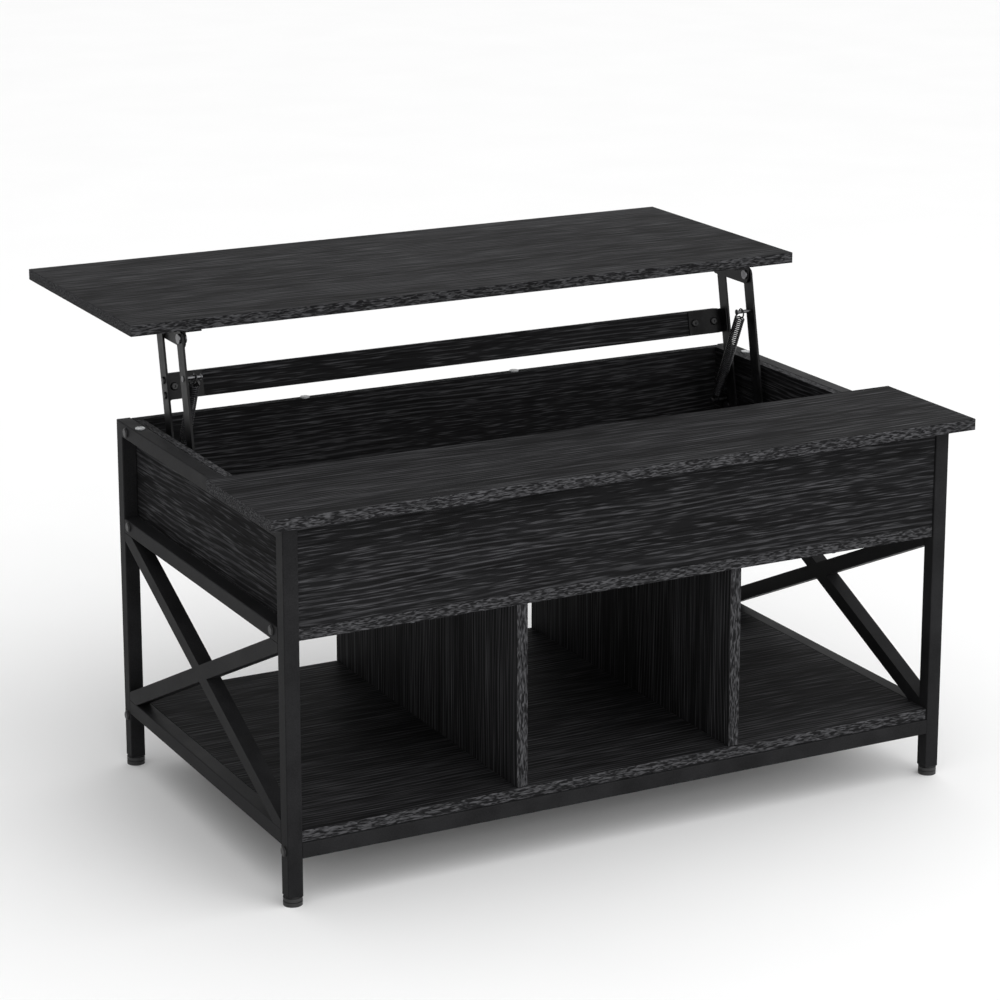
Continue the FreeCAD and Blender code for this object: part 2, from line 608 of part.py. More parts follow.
for side, sign in SIDES:
    # base bracket: a flange on the side panel, a step inwards and an upright web for the pivots
    step = "panel_inner - web_inner"
    corners = [(0, "web_above"), ("plate", "web_above"), ("plate", "-web_below"), (step, "-web_below"),
               (step, "-web_below - flange_drop"), (f"{step} - plate", "-web_below - flange_drop"),
               (f"{step} - plate", "-web_below - plate"), (0, "-web_below - plate")]
    corners = [(f"{sign} * ({x})", z) for x, z in corners]
    bracket, solid = section(f"base_bracket_{side}", corners, web_length, True)
    top = sheet.get("web_above")
    round_edges(bracket, solid,
                lambda edge: runs_along(edge, (1, 0, 0)) and abs(edge.Vertexes[0].Z - top) < 1e-6,
                "web_margin / 2")
    pin_spots = [("web_margin", 0), ("web_margin + pivot_spacing", 0), (stop_y, stop_z)]
    drill(bracket, "YZ_Plane", pin_spots, "pin_size")
    drill(bracket, "YZ_Plane", [("web_margin + pivot_spacing + anchor_back", "anchor_up")], "spring_pin")
    columns = ("web_margin / 2", f"{web_length} - web_margin / 2")
    spots = [(y, f"-web_below - flange_drop * {part}") for y in columns for part in (0.36, 0.76)]
    drill(bracket, "YZ_Plane", spots, "screw_hole")
    place(bracket, f"{sign} * web_inner", "front_pivot - web_margin", "pivot_level")
    keep(bracket, f"base_bracket_{side}")

    rear = flat_bar("rear_arm", [(bracket_bolts, "small_hole")])
    keep(on_arm(rear, f"{sign} * arm_plane", "rear_pivot"), f"rear_arm_{side}")
    front_arm = flat_bar("front_arm", [([(0, "spring_reach")], "spring_pin")])
    keep(on_arm(front_arm, f"{sign} * arm_plane", "front_pivot"), f"front_arm_{side}")

    # upper bracket: an upright plate for the pivots and a flange under the lid
    plate_length = "pivot_inset + pivot_spacing + top_plate_tail"
    corners = [(0, "-top_plate_drop"), (0, "pivot_drop"), ("-top_flange", "pivot_drop"),
               ("-top_flange", "pivot_drop - plate"), ("-plate", "pivot_drop - plate"),
               ("-plate", "-top_plate_drop")]
    corners = [(f"{sign} * ({x})", z) for x, z in corners]
    bracket, solid = section(f"top_bracket_{side}", corners, plate_length, True)
    low = -sheet.get("top_plate_drop")
    round_edges(bracket, solid,
                lambda edge: runs_along(edge, (1, 0, 0)) and abs(edge.Vertexes[0].Z - low) < 1e-6,
                "top_plate_round")
    drill(bracket, "YZ_Plane", [("pivot_inset", 0), ("pivot_inset + pivot_spacing", 0)], "pin_size")
    spots = [(f"-{sign} * top_flange * 0.6", y) for y in ("pivot_inset * 1.5", "pivot_inset + pivot_spacing")]
    drill(bracket, "XY_Plane", spots, "screw_hole")
    place(bracket, f"{sign} * top_plate_outer", "lid_front", "upper_level")
    keep(bracket, f"top_bracket_{side}")

    # crossbar bracket: a leg bolted to the rear arm and a face bolted to the crossbar
    bracket = new_body("crossbar_bracket")
    sketch = new_sketch(bracket, "XY_Plane", "crossbar_reach - crossbar_height / 2 + bracket_inset")
    corners = [(0, "-bracket_lip"), (0, "crossbar_front"), ("-bracket_reach", "crossbar_front"),
               ("-bracket_reach", "crossbar_front - plate"), ("-plate", "crossbar_front - plate"),
               ("-plate", "-bracket_lip")]
    outline(sketch, [(f"{sign} * ({x})", y) for x, y in corners])
    pad(bracket, sketch, "crossbar_height - 2 * bracket_inset")
    drill(bracket, "YZ_Plane", bracket_bolts, "small_hole")
    drill(bracket, "XZ_Plane", [(f"-{sign} * {x}", "crossbar_reach") for x in face_bolts], "small_hole")
    keep(on_arm(bracket, f"{sign} * arm_inner", "rear_pivot"), f"crossbar_bracket_{side}")

    # spring: a coil with an eye on the base bracket's pin, and the upper eye on the front arm's pin
    spring = new_body("spring")
    sketch = new_sketch(spring, "YZ_Plane")
    first_coil = "hook_inset + coil_middle + spring_wire / 2"
    last_coil = "spring_run - hook_inset - coil_middle - spring_wire - hook_slack"
    rings(sketch, [("coil_middle", first_coil)], "spring_wire")
    coil = spring.newObject("PartDesign::AdditiveHelix", "coil")
    coil.Profile = sketch
    coil.ReferenceAxis = (sketch, ["V_Axis"])
    coil.Mode = "height-turns-angle"
    bind(coil, "Height", f"{last_coil} - ({first_coil})")
    bind(coil, "Turns", "spring_turns")
    spring.Tip = coil
    spring_eye(spring, "hook_inset")
    for neck in (first_coil, last_coil):
        sketch = new_sketch(spring, "XZ_Plane")
        rings(sketch, [(0, neck)], "spring_wire")
        pad(spring, sketch, "coil_middle", backwards=True)
    place(spring, f"{sign} * spring_plane", "anchor_y", "anchor_z", axis=(1, 0, 0), angle="spring_lean")
    keep(spring, f"lift_spring_{side}")
    upper_eye = new_body("upper_eye")
    spring_eye(upper_eye, "spring_run - hook_inset")
    place(upper_eye, f"{sign} * spring_plane", "anchor_y", "anchor_z", axis=(1, 0, 0), angle="spring_lean")
    keep(upper_eye, f"spring_eye_{side}")

    # the pin on the front arm that carries the spring's upper eye
    reach = "arm_outer - spring_plane + spring_size / 2"
    pin = turned("spring_pin", [(f"-({reach}) - head_rise / 2", "spring_pin * 0.8"),
                                (f"-({reach})", "spring_pin * 0.8"), (f"-({reach})", "spring_pin / 2"),
                                (0, "spring_pin / 2"), (0, "spring_pin * 0.8"),
                                ("head_rise / 2", "spring_pin * 0.8")])
    pin = toward(pin, outward(sign), f"{sign} * (arm_outer - arm_plane)", 0, "spring_reach")
    pin = on_arm(group("pin_on_arm", [pin]), f"{sign} * arm_plane", "front_pivot")
    pin.Label = f"spring_pin_{side}"

bar = new_body("crossbar")
sketch = new_sketch(bar, "XY_Plane", "crossbar_reach - crossbar_height / 2")
outline(sketch, [("-crossbar_half", "crossbar_front"), ("crossbar_half", "crossbar_front"),
                 ("crossbar_half", "crossbar_front + board"), ("-crossbar_half", "crossbar_front + board")])
slab = pad(bar, sketch, "crossbar_height")
round_edges(bar, slab, lambda edge: True, "board_round")
spots = [(f"{sign} * (arm_inner - {x})", "crossbar_reach") for side, sign in SIDES for x in face_bolts]
drill(bar, "XZ_Plane", spots, "small_hole", "-crossbar_front", "small_bite", False)
keep(on_arm(bar, 0, "rear_pivot"), "crossbar")

# ---------------------------------------------------------------- pins and fasteners


def headed(name, grip, size, head, rise, dome=True):
    """A turned bolt: its shank runs back along -X from the origin, its head rises along +X."""
    body = turned(name, [(f"-({grip})", f"{size} / 2"), (0, f"{size} / 2"), (0, f"{head} / 2"),
                         (rise, f"{head} / 2")])
    if dome:
        doc.recompute()
        far = max(vertex.X for vertex in body.Shape.Vertexes)
        rim = [edge for edge in body.Shape.Edges if edge.Vertexes[0].X > far - 1e-6]
        widest = max(edge.BoundBox.YLength for edge in rim)
        round_edges(body, body.Tip, lambda edge: edge.Vertexes[0].X > far - 1e-6
                    and abs(edge.BoundBox.XLength) < 1e-6 and edge.BoundBox.YLength > widest - 1e-6,
                    f"{rise} * 0.8")
    return body


def hexagon(sketch, width):
    """A regular hexagon round the origin, given its width across the flats."""
    turns = [60 * i for i in range(6)]
    outline(sketch, [(f"{width} / sqrt(3) * sin({turn})", f"{width} / sqrt(3) * cos({turn})")
                     for turn in turns])


def scatter(label, make, spots):
    """Identical fasteners in one node: each spot is a direction and a point."""
    return group(label, [toward(make(), direction, x, y, z) for direction, x, y, z in spots])


def frame_bolt():
    return headed("frame_bolt", "tube + bolt_bite", "bolt_size", "bolt_head", "bolt_rise")


def wood_screw():
    return headed("wood_screw", "plate + screw_bite", "screw_size", "screw_head", "screw_rise")


def rail_screw():
    return headed("rail_screw", "tube + screw_bite", "screw_size", "screw_head", "screw_rise")


into_boards = [(outward(sign), f"{sign} * half_width", y, z) for side, sign in SIDES
               for y in ("front + bolt_setback", "back - bolt_setback")
               for z in ("frame_top - tube / 2", "floor_under + board / 2")]
into_rails = [(outward(sign), f"{sign} * half_width", f"middle + {way} * (frame_depth - tube) / 2",
               "long_rail_axis") for side, sign in SIDES for end, way in ENDS]
scatter("frame_bolts", frame_bolt, into_boards + into_rails)
under_strip = [("-z", f"{sign} * leg_axis", f"front + {y}", "frame_top - tube")
               for side, sign in SIDES for y in ("strip_depth / 4", "strip_depth * 3 / 4")]
under_shelf = [("-z", f"{sign} * inner_half * 2 / 3", f"middle + {way} * (frame_depth - tube) / 2",
                "shelf_under - tube") for side, sign in SIDES for end, way in ENDS]
under_dividers = [("-z", f"{sign} * divider_axis", f"board_front + {y}", "shelf_under")
                  for side, sign in SIDES for y in divider_spots]
under_walls = [("-z", f"{x} - inner_half", f"board_front + {y}", "floor_under") for x, y in wall_line]
scatter("long_screws", rail_screw, under_strip + under_shelf + under_dividers + under_walls)
scatter("base_bracket_screws", wood_screw,
        [(outward(-sign), f"{sign} * (panel_inner - plate)", y, f"floor_top + {z}")
         for side, sign in SIDES for y in flange_line for z in flange_rows])
scatter("top_bracket_screws", wood_screw,
        [("-z", x, f"lid_front + {y}", "lid_under - plate") for x, y in lid_spots])


def pivot_pin():
    """A riveted pin: its shank runs along +X from the inner head's face to the tail's face."""
    return turned("pivot_pin", [("-head_rise", "pin_head / 2"), (0, "pin_head / 2"), (0, "pin_size / 2"),
                                ("side_gap + arm_thick + web_gap + plate", "pin_size / 2"),
                                ("side_gap + arm_thick + web_gap + plate", "pin_head / 2"),
                                ("side_gap + arm_thick + web_gap + plate + head_rise / 2", "pin_head / 2")])


def upper_pin():
    return turned("upper_pin", [("-head_rise", "pin_head / 2"), (0, "pin_head / 2"), (0, "pin_size / 2"),
                                ("plate + bracket_gap + arm_thick + side_gap", "pin_size / 2"),
                                ("plate + bracket_gap + arm_thick + side_gap", "pin_head / 2"),
                                ("plate + bracket_gap + arm_thick + side_gap + head_rise", "pin_head / 2")])


def anchor_pin():
    reach = "web_inner + plate - spring_plane + spring_size / 2"
    return turned("anchor_pin", [("-head_rise / 2", "spring_pin * 0.8"), (0, "spring_pin * 0.8"),
                                 (0, "spring_pin / 2"), (reach, "spring_pin / 2"), (reach, "spring_pin * 0.8"),
                                 (f"{reach} + head_rise / 2", "spring_pin * 0.8")])


base_spots = [("front_pivot", "pivot_level"), ("rear_pivot", "pivot_level"),
              (f"front_pivot - web_margin + {stop_y}", f"pivot_level + {stop_z}")]
base_rivets = [(outward(sign), f"{sign} * (arm_inner - side_gap)", y, z)
               for side, sign in SIDES for y, z in base_spots]
scatter("base_rivets", pivot_pin, base_rivets)
scatter("top_pivot_pins", upper_pin,
        [(outward(sign), f"{sign} * (top_plate_outer - plate)", f"{y} + upper_shift", "upper_level")
         for side, sign in SIDES for y in ("front_pivot", "rear_pivot")])
spring_anchors = [(outward(sign), f"{sign} * (spring_plane - spring_size / 2)", "anchor_y", "anchor_z")
                  for side, sign in SIDES]
scatter("spring_anchors", anchor_pin, spring_anchors)


def arm_bolt():
    return headed("arm_bolt", "arm_thick + plate", "small_bolt", "small_head", "small_rise")


def crossbar_bolt():
    body = headed("crossbar_bolt", "plate + small_bite", "small_bolt", "small_head * 1.1", "small_rise")
    sketch = new_sketch(body, "YZ_Plane", "small_rise")
    hexagon(sketch, "socket_width")
    cut(body, sketch, "small_rise * 0.7")
    return body


bolts = scatter("arm_bolts", arm_bolt, [(outward(sign), f"{sign} * arm_outer", 0, z)
                                        for side, sign in SIDES for y, z in bracket_bolts])
on_arm(bolts, 0, "rear_pivot")
pieces = []
for side, sign in SIDES:
    for reach in face_bolts:
        bolt = crossbar_bolt()
        place(bolt, f"{sign} * (arm_inner - {reach})", "crossbar_front - plate", "crossbar_reach",
              axis=(0, 0, 1), angle=-90)
        pieces.append(bolt)
on_arm(group("crossbar_bolts", pieces), 0, "rear_pivot")

# ---------------------------------------------------------------- feet, inserts and bumpers

for side, sign in SIDES:
    for end, way in ENDS:
        full, groove = "foot_size / 2", "foot_size / 2 * 0.92"
        foot = turned("foot", [(0, full), ("foot_height * 0.42", full), ("foot_height * 0.42", groove),
                               ("foot_height * 0.54", groove), ("foot_height * 0.54", full),
                               ("foot_height * 0.88", full), ("foot_height * 0.88", "tube / 2"),
                               ("foot_height - foot_gap", "tube / 2"),
                               ("foot_height - foot_gap", "stem_size / 2"),
                               ("foot_height + stem_length", "stem_size / 2")])
        toward(foot, "+z", f"{sign} * leg_axis", f"middle + {way} * (frame_depth - tube) / 2", 0)
        keep(foot, f"foot_{end}_{side}")


def insert():
    """A square plastic insert with a threaded bore, filling the end of a tube along its +X."""
    body = new_body("insert")
    sketch = new_sketch(body, "YZ_Plane")
    square(sketch, "tube - 2 * tube_wall")
    rings(sketch, [(0, 0)], "bolt_hole")
    pad(body, sketch, "insert_length")
    return body


leg_ends = [("+z", f"{sign} * leg_axis", f"middle + {way} * (frame_depth - tube) / 2", "foot_height")
            for side, sign in SIDES for end, way in ENDS]
rail_ends = [(outward(-sign), f"{sign} * inner_half", f"middle + {way} * (frame_depth - tube) / 2",
              "long_rail_axis") for side, sign in SIDES for end, way in ENDS]
scatter("tube_inserts", insert, leg_ends + rail_ends)


def bumper():
    return turned("bumper", [(0, "bumper_size / 2"), ("bumper_rise", "bumper_size / 2")])


scatter("bumpers", bumper,
        [("+z", f"{sign} * leg_axis", "back - bumper_setback", "frame_top") for side, sign in SIDES]
        + [("+z", x, "wall_back + panel / 2", "frame_top") for x in ("-bumper_left", "bumper_right")])

# ---------------------------------------------------------------- check and write

doc.recompute()
for item in doc.Objects:
    troubles = [state for state in item.State if state in ("Invalid", "Error")]
    if troubles:
        raise RuntimeError(f"{item.Label} ({item.Name}): {troubles}")
for item in parts:
    if item.Shape.isNull() or not item.Shape.isValid():
        raise RuntimeError(f"{item.Label} has no sound shape")
os.makedirs("parts", exist_ok=True)
for item in parts:
    item.Shape.exportStep(f"parts/{item.Label}.step")
print(len(parts), "pieces written")
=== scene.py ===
import json
import logging
import math
from dataclasses import dataclass, field
from enum import Enum
from typing import Any, Iterable, Sequence

import bpy
import numpy as np
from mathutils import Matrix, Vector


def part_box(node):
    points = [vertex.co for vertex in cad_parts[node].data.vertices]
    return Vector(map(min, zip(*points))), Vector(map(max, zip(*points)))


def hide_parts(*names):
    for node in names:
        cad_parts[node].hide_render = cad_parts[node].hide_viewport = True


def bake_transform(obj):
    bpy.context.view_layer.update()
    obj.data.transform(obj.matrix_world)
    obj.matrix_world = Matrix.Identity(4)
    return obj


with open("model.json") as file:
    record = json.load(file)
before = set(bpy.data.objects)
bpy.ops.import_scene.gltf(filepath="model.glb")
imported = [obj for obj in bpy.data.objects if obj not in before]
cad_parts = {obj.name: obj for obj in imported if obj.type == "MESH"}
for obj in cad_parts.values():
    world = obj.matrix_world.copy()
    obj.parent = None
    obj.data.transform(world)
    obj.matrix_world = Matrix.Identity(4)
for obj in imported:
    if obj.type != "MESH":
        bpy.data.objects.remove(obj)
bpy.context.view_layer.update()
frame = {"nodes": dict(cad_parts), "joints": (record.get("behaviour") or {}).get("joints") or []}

# A black lift top coffee table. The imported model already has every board, tube and fastener at its
# true size, so this file dresses each of them in its own finish and winds the two lift springs.

log = logging.getLogger("table")
MM = 0.001

Colour = tuple[float, float, float, float]
Tree = bpy.types.NodeTree
Node = bpy.types.Node
Socket = bpy.types.NodeSocket


# ---------------------------------------------------------------- small helpers


def linear(code: str, share: float = 1.0) -> Colour:
    """Turns an sRGB colour into the linear one that shaders work in.

    Args:
        code: the colour as "#rrggbb".
        share: how much of its light is kept; above 1 it is lighter.

    Returns:
        Red, green and blue in linear light, and an alpha of 1.
    """
    parts = [int(code[i:i + 2], 16) / 255 for i in (1, 3, 5)]
    light = [c / 12.92 if c <= 0.04045 else ((c + 0.055) / 1.055) ** 2.4 for c in parts]
    return (light[0] * share, light[1] * share, light[2] * share, 1.0)


def add(tree: Tree, kind: str, inputs: Sequence[Any] | dict[Any, Any] = (),
        stops: Iterable[tuple[float, Colour]] = (), **settings: Any) -> Node:
    """Adds one shader node with its settings, and sets or links its inputs.

    Args:
        tree: the material's node tree.
        kind: the node's type name, without its ShaderNode prefix.
        inputs: what goes into the inputs, in their order or keyed by their name or index. A socket
            is linked, and anything else is set as the input's own value.
        stops: positions and linear colours of a colour ramp, lowest first.
        **settings: properties of the node itself.

    Returns:
        The new node.
    """
    made = tree.nodes.new("ShaderNode" + kind)
    for name, value in settings.items():
        setattr(made, name, value)
    for key, given in inputs.items() if isinstance(inputs, dict) else enumerate(inputs):
        if isinstance(given, Socket):
            tree.links.new(given, made.inputs[key])
        else:
            made.inputs[key].default_value = given
    for index, (position, colour) in enumerate(stops):
        elements = made.color_ramp.elements
        stop = elements[index] if index < 2 else elements.new(1.0)
        stop.position, stop.color = position, colour
    return made


def new_material(name: str, **looks: Any) -> tuple[bpy.types.Material, Tree, Node]:
    """Starts a material that holds one Principled shader.

    Args:
        name: the material's name.
        **looks: the shader's uniform values, keyed by input name with _ for a space.

    Returns:
        The material, its node tree and the shader node.
    """
    made = bpy.data.materials.new(name)
    made.use_nodes = True
    tree = made.node_tree
    tree.nodes.clear()
    shader = add(tree, "BsdfPrincipled", {key.replace("_", " "): value for key, value in looks.items()})
    add(tree, "OutputMaterial", {"Surface": shader.outputs["BSDF"]})
    return made, tree, shader


def surface(tree: Tree, shader: Node, colour: Socket, roughness: Socket, height: Socket | None = None,
            strength: float = 0.0, depth: float = 0.0) -> None:
    """Gives a shader the patterns that run over its surface.

    Args:
        tree: the material's node tree.
        shader: the Principled shader.
        colour: the base colour.
        roughness: how widely highlights spread.
        height: the relief, from 0 to 1, where there is one.
        strength: how much of the relief shows.
        depth: the relief's full height, in millimetres.
    """
    tree.links.new(colour, shader.inputs["Base Color"])
    tree.links.new(roughness, shader.inputs["Roughness"])
    if height is not None:
        relief = add(tree, "Bump", {"Height": height, "Strength": strength, "Distance": depth * MM})
        tree.links.new(relief.outputs[0], shader.inputs["Normal"])


def dress(nodes: Iterable[str], material: bpy.types.Material) -> None:
    """Puts one material on some CAD nodes, which have one slot each.

    Args:
        nodes: the nodes' names.
        material: what they are finished in.
    """
    for name in nodes:
        frame["nodes"][name].data.materials[0] = material
        log.info("%s: %s", name, material.name)


# ---------------------------------------------------------------- finishes

# A map range's inputs are the value, the two ends of the value's own range, and what they become.


class Axis(Enum):
    """The table's three directions: its length, its depth and its height."""

    LENGTH = 0
    DEPTH = 1
    HEIGHT = 2


@dataclass(frozen=True)
class EmbossedLaminate:
    """Particle board in black melamine laminate, pressed against a plate with an ash grain.

    The eye sees a charcoal face with short pale glints where the pressed grain catches light, which
    the colour paints in as painted highlights, dark pores between them, and wavy growth lines that
    come and go. The edges are banded with an edging paper of coarser, paler specks; the edge mask
    also fades in over the rounded arris, where that pale colour stands as a painted highlight. The
    pressed grain scatters light, so that the face is matt.

    Attributes:
        grain: the direction of the streaks.
        flat: the axis that the board's two large faces look along.
        seed: shifts the pattern, so that no two boards match.
        glint_length: length of a painted glint along the grain, in millimetres.
        glint_width: its size across the grain, in millimetres, coarser than life so that it shows.
        line_spacing: distance between growth lines, in millimetres.
        line_weight: how much the growth lines show, against the painted glints.
        sway: how far a growth line strays at most, counted in line spacings.
        cloud_weight: how much the board's slow changes of tone show.
        band_fleck: size of the edging paper's specks across and along the grain, in millimetres.
        pore: the colour down in the pores.
        face: the colour between them.
        painted_glint: the colour of the pale glints, painted highlights where the grain catches light.
        band_and_arris_highlight: the edging paper's palest colour, also a painted highlight on the arris.
        gloss: specular level, low because the pressed grain breaks up all reflections.
        press: how much of the pressed relief shows.
        press_depth: its depth, in millimetres.
    """

    grain: Axis
    flat: Axis
    seed: float
    glint_length: float
    glint_width: float = 1.8
    line_spacing: float = 7.5
    line_weight: float = 0.27
    sway: float = 6.0
    cloud_weight: float = 0.1
    band_fleck: tuple[float, float] = (1.7, 10.0)
    pore: str = "#0e0e0e"
    face: str = "#1c1c1d"
    painted_glint: str = "#454547"
    band_and_arris_highlight: str = "#4e4e50"
    gloss: float = 0.015
    press: float = 0.22
    press_depth: float = 0.3

    def noise(self, tree: Tree, across: float, along: float, shift: float, **values: float) -> Socket:
        """Noise whose cells are long with the grain and narrow across it.

        Args:
            tree: the material's node tree.
            across: cell size across the grain, in millimetres.
            along: cell size along the grain, in millimetres.
            shift: moves this layer against the others.
            **values: the noise node's own values, keyed by input name.

        Returns:
            The noise, from 0 to 1.
        """
        scale = [1 / (across * MM)] * 3
        scale[self.grain.value] = 1 / (along * MM)
        start = (self.seed + shift, self.seed * 1.7 - shift, self.seed * 0.6 + shift)
        place = add(tree, "TexCoord").outputs["Object"]
        where = add(tree, "Mapping", {"Vector": place, "Scale": scale, "Location": start}).outputs[0]
        return add(tree, "TexNoise", {"Vector": where, "Scale": 1.0, **values}).outputs["Fac"]

    def growth_lines(self, tree: Tree) -> Socket:
        """Wavy lines along the grain: a sine of the distance across it, pushed about by slow noise.

        Args:
            tree: the material's node tree.

        Returns:
            Their height, from 0 to 1, faded out over parts of the board.
        """
        ahead = [1 / (self.line_spacing * MM)] * 3
        ahead[self.grain.value] = 0.0
        place = add(tree, "TexCoord").outputs["Object"]
        count = add(tree, "VectorMath", [place, ahead], operation="DOT_PRODUCT").outputs["Value"]
        drift = self.noise(tree, 95.0, 460.0, 3.3, Detail=1.5, Roughness=0.4)
        phase = add(tree, "Math", [drift, self.sway, count], operation="MULTIPLY_ADD").outputs[0]
        angle = add(tree, "Math", [phase, 2 * math.pi], operation="MULTIPLY").outputs[0]
        wave = add(tree, "Math", [angle], operation="SINE").outputs[0]
        crest = add(tree, "MapRange", [wave, 0.3, 1.0, 0.0, 1.0]).outputs[0]
        patch = self.noise(tree, 55.0, 420.0, 7.9, Detail=1.0)
        where = add(tree, "MapRange", [patch, 0.4, 0.56, 0.0, 1.0]).outputs[0]
        return add(tree, "Math", [crest, where], operation="MULTIPLY").outputs[0]

    def tone(self, tree: Tree, glint_noise: Socket) -> Socket:
        """The face's tone: painted glints cut off at the pores, with growth lines and slow clouds added.

        Args:
            tree: the material's node tree.
            glint_noise: the noise that the painted glints come from.

        Returns:
            The tone, from 0 in a pore to 1 on a painted glint.
        """
        pores = self.noise(tree, self.glint_width * 1.4, self.glint_length * 1.6, 8.7, Detail=1.5)
        broad = self.noise(tree, 40.0, 520.0, 5.1, Detail=1.0)
        # Pale tone on the glint noise: painted highlights where the pressed grain would catch the light.
        pale = add(tree, "MapRange", [glint_noise, 0.53, 0.72, 0.34, 0.86]).outputs[0]
        clear = add(tree, "MapRange", [pores, 0.36, 0.47, 0.6, 1.0]).outputs[0]
        cut = add(tree, "Math", [pale, clear], operation="MULTIPLY").outputs[0]
        lines = self.growth_lines(tree)
        grown = add(tree, "Math", [lines, self.line_weight, cut], operation="MULTIPLY_ADD").outputs[0]
        cloud = add(tree, "MapRange", [broad, 0.3, 0.7, -0.5, 0.5]).outputs[0]
        return add(tree, "Math", [cloud, self.cloud_weight, grown], operation="MULTIPLY_ADD").outputs[0]

    def build(self) -> bpy.types.Material:
        """Makes the material.

        Returns:
            The laminate of one board.
        """
        made, tree, shader = new_material(f"melamine laminate, pressed ash grain {self.seed:g}",
                                          IOR=1.46, Specular_IOR_Level=self.gloss)
        glint_noise = self.noise(tree, self.glint_width, self.glint_length, 0.0, Detail=1.5, Roughness=0.5)
        tone = self.tone(tree, glint_noise)
        # The palest stop paints those glints into the board's colour: a painted highlight.
        face = add(tree, "ValToRGB", [tone], [(0.1, linear(self.pore)), (0.36, linear(self.face)),
                                              (0.9, linear(self.painted_glint))]).outputs[0]
        coarse = self.noise(tree, *self.band_fleck, 2.2, Detail=1.5, Distortion=0.7)
        banding_and_arris_highlight = add(tree, "ValToRGB", [coarse],
                      [(0.44, linear(self.face)), (0.66, linear(self.band_and_arris_highlight))]).outputs[0]
        # Paler edging paper on the edges; this mask also fades in over the rounded arris, where the pale
        # colour stands as a painted highlight.
        normal = add(tree, "TexCoord").outputs["Normal"]
        size = add(tree, "VectorMath", [normal], operation="ABSOLUTE").outputs[0]
        facing = add(tree, "SeparateXYZ", [size]).outputs[self.flat.value]
        edge_and_arris_mask = add(tree, "MapRange", [facing, 0.6, 0.9, 1.0, 0.0]).outputs[0]
        both = add(tree, "Mix", {0: edge_and_arris_mask, 6: face, 7: banding_and_arris_highlight}, data_type="RGBA").outputs[2]
        matt = add(tree, "MapRange", [glint_noise, 0.3, 0.7, 0.66, 0.5]).outputs[0]
        surface(tree, shader, both, matt, tone, self.press, self.press_depth)
        return made


@dataclass(frozen=True)
class PowderCoat:
    """Steel with a baked black powder coat, sprayed on dry and melted to a fine orange peel.

    The eye sees an even matt black whose surface breaks highlights into a soft grain.

    Attributes:
        colour: the coat's colour.
        roughness: how widely a highlight spreads.
        gloss: specular level, low because the fine peel breaks up reflections.
        grit: size of the orange peel, in millimetres, drawn coarser than life so that it shows.
        peel_depth: its depth, in millimetres.
        cloud: size of the coat's slow changes of tone, in millimetres.
    """

    colour: str = "#1f1f20"
    roughness: float = 0.5
    gloss: float = 0.04
    grit: float = 1.6
    peel_depth: float = 0.12
    cloud: float = 45.0

    def build(self) -> bpy.types.Material:
        """Makes the material.

        Returns:
            The powder coat.
        """
        made, tree, shader = new_material("matt black powder coat, sprayed", Specular_IOR_Level=self.gloss)
        place = add(tree, "TexCoord").outputs["Object"]
        peel, cloud = (add(tree, "TexNoise", {"Vector": place, "Scale": 1 / (size * MM), "Detail": 2.0})
                       .outputs["Fac"] for size in (self.grit, self.cloud))
        half = add(tree, "MapRange", [cloud, 0.0, 1.0, 0.0, 0.5]).outputs[0]
        both = add(tree, "Math", [peel, 0.5, half], operation="MULTIPLY_ADD").outputs[0]
        paint = add(tree, "ValToRGB", [both],
                    [(0.35, linear(self.colour, 0.72)), (0.65, linear(self.colour, 1.4))]).outputs[0]
        rough = add(tree, "MapRange", [cloud, 0.3, 0.7, self.roughness - 0.05, self.roughness + 0.07])
        surface(tree, shader, paint, rough.outputs[0], peel, 0.22, self.peel_depth)
        return made


@dataclass(frozen=True)
class Metal:
    """A metal part as it left its machine: turned, drawn or plated.

    The eye sees a metal whose gloss wanders slightly, with fine marks round it from the tool.

    Attributes:
        name: what the metal is and how it was made.
        colour: its reflected colour.
        roughness: how widely a highlight spreads.
        mark: spacing of the tool marks, in millimetres.
        shine: how far it reflects as a metal, from 0 for a black oxide crust to 1 for bare metal.
        mark_depth: depth of the tool marks, in millimetres.
        stain: size of the duller patches, in millimetres.
    """

    name: str
    colour: str
    roughness: float
    mark: float = 0.7
    shine: float = 1.0
    mark_depth: float = 0.05
    stain: float = 6.0

    def build(self) -> bpy.types.Material:
        """Makes the material.

        Returns:
            The metal.
        """
        made, tree, shader = new_material(self.name, Metallic=self.shine)
        place = add(tree, "TexCoord").outputs["Object"]
        marks = add(tree, "TexNoise", {"Vector": place, "Scale": 1 / (self.mark * MM),
                                       "Detail": 3.0}).outputs["Fac"]
        stain = add(tree, "TexNoise", {"Vector": place, "Scale": 1 / (self.stain * MM),
                                       "Detail": 2.0}).outputs["Fac"]
        bare = add(tree, "ValToRGB", [stain],
                   [(0.3, linear(self.colour, 0.6)), (0.6, linear(self.colour))]).outputs[0]
        rough = add(tree, "MapRange", [marks, 0.3, 0.7, self.roughness * 0.75, self.roughness * 1.3])
        surface(tree, shader, bare, rough.outputs[0], marks, 0.15, self.mark_depth)
        return made


